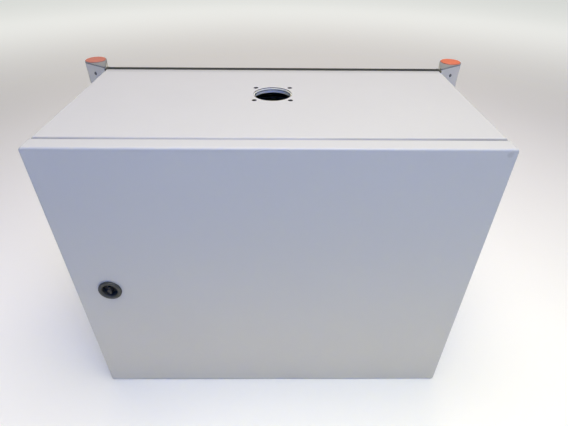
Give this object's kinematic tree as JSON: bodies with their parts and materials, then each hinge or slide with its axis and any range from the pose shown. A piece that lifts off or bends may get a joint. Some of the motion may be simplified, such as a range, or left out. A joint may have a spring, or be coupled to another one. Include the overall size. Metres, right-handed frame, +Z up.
{
  "type": "breaker panel box",
  "caption": "Sheet-steel breaker panel box with a hinged, quarter-turn locked door, a round roof cable entry, a fitted breaker row and a rear post frame with wall-bolt feet.",
  "frame": {"origin": "centre of the four wall-bolt holes, on the wall plane", "axes": "+X to the right seen from the front, +Y towards the wall, +Z up"},
  "size_m": [0.5826, 0.3082, 0.404],
  "materials": {
    "grey_powder_coat": "fine textured light grey powder coat",
    "zinc_steel": "zinc plated steel",
    "zinc_screw": "bright zinc fastener",
    "black_screw": "black coated screw",
    "black_steel": "matt black powder coat",
    "grey_post": "grey coated aluminium section",
    "grey_plate": "grey moulded end plate",
    "orange_plastic": "orange moulded plug",
    "black_plastic": "black moulded plastic",
    "dark_zinc": "die-cast lock insert",
    "seal": "foamed polyurethane seal",
    "duct_grey": "grey rigid plastic trunking",
    "device_case": "light grey moulded case",
    "black_lever": "black moulded lever",
    "red_lever": "red moulded lever",
    "test_yellow": "yellow push button",
    "busbar_grey": "insulated comb busbar",
    "cover_white": "white coated inner cover",
    "terminal_beige": "moulded terminal",
    "brass": "plain brass",
    "support_blue": "black moulded support",
    "wire_brown": "brown wire insulation",
    "wire_blue": "blue wire insulation",
    "wire_earth": "green and yellow wire insulation"
  },
  "bodies": {
    "enclosure": {"enclosure_body": "grey_powder_coat", "roof_backing_ring": "grey_powder_coat", "gland_gasket": "seal", "gland_plate": "zinc_steel", "gland_screws": "zinc_screw", "frame_bolts": "zinc_screw", "hinge_arms": "zinc_steel", "hinge_screws": "zinc_screw", "post_right": "grey_post", "post_left": "grey_post", "post_end_plates": "grey_plate", "post_plugs": "orange_plastic", "post_screws": "black_screw", "cross_rail_upper": "black_steel", "cross_rail_lower": "black_steel", "rail_end_caps": "black_plastic", "wall_brackets": "black_steel", "plate_studs": "zinc_steel", "mounting_plate": "zinc_steel", "plate_nuts": "zinc_screw", "din_rails": "zinc_steel", "rail_screws": "zinc_screw", "wiring_ducts": "duct_grey", "duct_covers": "duct_grey", "main_switch_body": "device_case", "rcd_body": "device_case", "breaker_bodies": "device_case", "phase_busbar": "busbar_grey", "breaker_cover": "cover_white", "cover_posts": "zinc_steel", "cover_screws": "zinc_screw", "terminal_blocks": "terminal_beige", "end_stops": "terminal_beige", "terminal_bars": "brass", "bar_supports": "support_blue", "bar_screws": "zinc_screw", "phase_wires": "wire_brown", "neutral_wires": "wire_blue", "earth_wires": "wire_earth", "body_earth_stud": "zinc_steel", "door_earth_strap": "wire_earth"},
    "door": {"door_panel": "grey_powder_coat", "door_gasket": "seal", "door_stiffeners": "zinc_steel", "hinge_knuckles": "zinc_steel", "hinge_pins": "zinc_screw", "lock_housing": "black_plastic", "lock_nut": "black_plastic", "door_earth_stud": "zinc_steel"},
    "lock": {"lock_insert": "dark_zinc", "lock_cam": "zinc_steel", "lock_cam_screw": "zinc_screw"},
    "main_switch": {"main_switch_lever": "red_lever"},
    "rcd": {"rcd_lever": "black_lever"},
    "rcd_test": {"rcd_test_button": "test_yellow"},
    "breaker_1": {"breaker_lever_1": "black_lever"},
    "breaker_2": {"breaker_lever_2": "black_lever"},
    "breaker_3": {"breaker_lever_3": "black_lever"},
    "breaker_4": {"breaker_lever_4": "black_lever"},
    "breaker_5": {"breaker_lever_5": "black_lever"}
  },
  "joints": [
    {"name": "door_hinge", "type": "hinge", "parent": "enclosure", "child": "door", "pos_m": [0.243, -0.2994, 0], "axis": [0, 0, 1], "range_deg": [0, 110], "deforming": ["door_earth_strap"]},
    {"name": "lock_turn", "type": "hinge", "parent": "door", "child": "lock", "pos_m": [-0.2055, -0.295, 0], "axis": [0, 1, 0], "range_deg": [-90, 0]},
    {"name": "main_switch_throw", "type": "hinge", "parent": "enclosure", "child": "main_switch", "pos_m": [-0.07875, -0.1355, 0.0725], "axis": [1, 0, 0], "range_deg": [0, 76]},
    {"name": "rcd_throw", "type": "hinge", "parent": "enclosure", "child": "rcd", "pos_m": [-0.0175, -0.1355, 0.0725], "axis": [1, 0, 0], "range_deg": [0, 76]},
    {"name": "rcd_test_press", "type": "slide", "parent": "enclosure", "child": "rcd_test", "axis": [0, 1, 0], "range_m": [0, 0.0015]},
    {"name": "breaker_throw_1", "type": "hinge", "parent": "enclosure", "child": "breaker_1", "pos_m": [0.02625, -0.1355, 0.0725], "axis": [1, 0, 0], "range_deg": [0, 76]},
    {"name": "breaker_throw_2", "type": "hinge", "parent": "enclosure", "child": "breaker_2", "pos_m": [0.04375, -0.1355, 0.0725], "axis": [1, 0, 0], "range_deg": [0, 76]},
    {"name": "breaker_throw_3", "type": "hinge", "parent": "enclosure", "child": "breaker_3", "pos_m": [0.06125, -0.1355, 0.0725], "axis": [1, 0, 0], "range_deg": [0, 76]},
    {"name": "breaker_throw_4", "type": "hinge", "parent": "enclosure", "child": "breaker_4", "pos_m": [0.07875, -0.1355, 0.0725], "axis": [1, 0, 0], "range_deg": [0, 76]},
    {"name": "breaker_throw_5", "type": "hinge", "parent": "enclosure", "child": "breaker_5", "pos_m": [0.09625, -0.1355, 0.0725], "axis": [1, 0, 0], "range_deg": [0, 76]}
  ]
}
